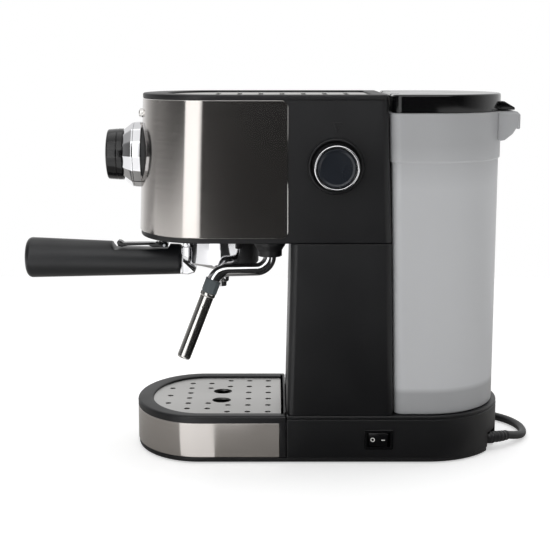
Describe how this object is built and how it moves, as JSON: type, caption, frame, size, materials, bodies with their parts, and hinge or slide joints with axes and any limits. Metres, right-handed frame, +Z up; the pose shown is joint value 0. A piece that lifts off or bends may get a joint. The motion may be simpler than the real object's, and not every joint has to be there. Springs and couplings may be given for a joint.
{
  "type": "espresso machine",
  "caption": "Slim pump espresso machine with portafilter, swivelling steam wand, lift-out rear water tank, slide-out drip tray, front dial, side steam knob and mains lead.",
  "frame": {"origin": "on the table, under the middle of the machine's overall box, the mains lead not counted", "axes": "+Z up; -Y the front, where the portafilter handle points; +X the side with the steam knob and the power switch"},
  "size_m": [0.2958, 0.4345, 0.3],
  "materials": {
    "matte_black": "fine-textured moulded black ABS",
    "gloss_black": "polished black plastic",
    "brushed_steel": "brushed stainless steel",
    "chrome": "polished chrome plate",
    "frosted_tank": "frosted translucent grey plastic",
    "black_rubber": "matte rubber",
    "grey_silicone": "dark grey silicone",
    "hose_silicone": "translucent silicone hose",
    "cord_pvc": "black PVC cord sheath",
    "cast_aluminium": "cast aluminium",
    "brass": "machined brass",
    "zinc_steel": "zinc-plated steel",
    "board_green": "printed circuit board",
    "white_plastic": "plain moulded plastic"
  },
  "bodies": {
    "root": {"base_pan": "matte_black", "feet": "black_rubber", "pan_screws": "zinc_steel", "base_shell": "matte_black", "tank_socket": "matte_black", "column_housing": "matte_black", "head_housing": "matte_black", "steel_wrap": "brushed_steel", "top_cover": "matte_black", "cup_plate": "brushed_steel", "dial_bezel": "matte_black", "rotary_switch": "white_plastic", "control_board": "board_green", "thermoblock": "cast_aluminium", "thermoblock_bracket": "zinc_steel", "vibration_pump": "zinc_steel", "pump_mounts": "black_rubber", "water_hoses": "hose_silicone", "steam_hoses": "hose_silicone", "steam_valve": "brass", "knob_collar": "matte_black", "brew_group": "cast_aluminium", "group_gasket": "black_rubber", "shower_screen": "brushed_steel", "shower_screw": "zinc_steel", "wand_gland": "matte_black", "switch_frame": "gloss_black", "cord_gland": "cord_pvc", "mains_cord": "cord_pvc", "cord_coil": "cord_pvc", "plug_lead": "cord_pvc", "plug_body": "cord_pvc", "plug_pins": "brass"},
    "drip_tray": {"tray_body": "matte_black", "tray_band": "brushed_steel"},
    "drip_plate": {"drip_grid": "brushed_steel"},
    "function_dial": {"dial_skirt": "chrome", "dial_cap": "gloss_black", "dial_shaft": "zinc_steel"},
    "button_left": {"button_left": "chrome"},
    "button_middle": {"button_middle": "chrome"},
    "button_right": {"button_right": "chrome"},
    "steam_knob": {"steam_knob": "matte_black", "knob_ring": "chrome", "knob_cap": "gloss_black"},
    "portafilter": {"portafilter_bowl": "chrome", "portafilter_spout": "chrome", "portafilter_handle": "matte_black", "clip_pin": "zinc_steel", "filter_basket": "brushed_steel"},
    "basket_clip": {"basket_clip": "matte_black"},
    "steam_wand": {"steam_tube": "chrome", "wand_grip": "grey_silicone"},
    "froth_sleeve": {"froth_sleeve": "brushed_steel"},
    "power_rocker": {"switch_rocker": "gloss_black"},
    "water_tank": {"tank_shell": "frosted_tank", "lid_hinge_pin": "zinc_steel", "tank_valve_seat": "white_plastic"},
    "valve_poppet": {"tank_valve_poppet": "white_plastic"},
    "tank_lid": {"tank_lid": "matte_black"}
  },
  "joints": [
    {"name": "tray_slide", "type": "slide", "parent": "root", "child": "drip_tray", "axis": [0, -1, 0], "range_m": [0, 0.13]},
    {"name": "plate_lift", "type": "slide", "parent": "drip_tray", "child": "drip_plate", "axis": [0, 0, 1], "range_m": [0, 0.02]},
    {"name": "dial_turn", "type": "hinge", "parent": "root", "child": "function_dial", "pos_m": [-0.0105, -0.11425, 0.2484], "axis": [0, -1, 0], "range_deg": [-90, 90]},
    {"name": "button_left_press", "type": "slide", "parent": "root", "child": "button_left", "axis": [0, 1, 0], "range_m": [0, 0.0015], "stiffness_N_per_m": 400},
    {"name": "button_middle_press", "type": "slide", "parent": "root", "child": "button_middle", "axis": [0, 1, 0], "range_m": [0, 0.0015], "stiffness_N_per_m": 400},
    {"name": "button_right_press", "type": "slide", "parent": "root", "child": "button_right", "axis": [0, 1, 0], "range_m": [0, 0.0015], "stiffness_N_per_m": 400},
    {"name": "steam_knob_turn", "type": "hinge", "parent": "root", "child": "steam_knob", "pos_m": [0.0695, 0.05375, 0.2442], "axis": [1, 0, 0], "range_deg": [0, 270]},
    {"name": "portafilter_turn", "type": "hinge", "parent": "root", "child": "portafilter", "pos_m": [-0.0105, -0.03825, 0.17], "axis": [0, 0, 1], "range_deg": [-45, 0]},
    {"name": "basket_clip_flip", "type": "hinge", "parent": "portafilter", "child": "basket_clip", "pos_m": [-0.0105, -0.08825, 0.1716], "axis": [-1, 0, 0], "range_deg": [0, 12]},
    {"name": "wand_swing", "type": "hinge", "parent": "root", "child": "steam_wand", "pos_m": [0.0365, 0.00155, 0.17], "axis": [0, 0, 1], "range_deg": [0, 75]},
    {"name": "sleeve_pull", "type": "slide", "parent": "steam_wand", "child": "froth_sleeve", "axis": [0.051, -0.3629, -0.9304], "range_m": [0, 0.02]},
    {"name": "rocker_tip", "type": "hinge", "parent": "root", "child": "power_rocker", "pos_m": [0.056, 0.09075, 0.0204], "axis": [0, 0, 1], "range_deg": [0, 16]},
    {"name": "tank_lift", "type": "slide", "parent": "root", "child": "water_tank", "axis": [0, 0, 1], "range_m": [0, 0.12]},
    {"name": "poppet_lift", "type": "slide", "parent": "water_tank", "child": "valve_poppet", "axis": [0, 0, 1], "range_m": [0, 0.002], "stiffness_N_per_m": 60},
    {"name": "lid_open", "type": "hinge", "parent": "water_tank", "child": "tank_lid", "pos_m": [-0.0105, 0.10215, 0.2962], "axis": [1, 0, 0], "range_deg": [0, 95]}
  ]
}
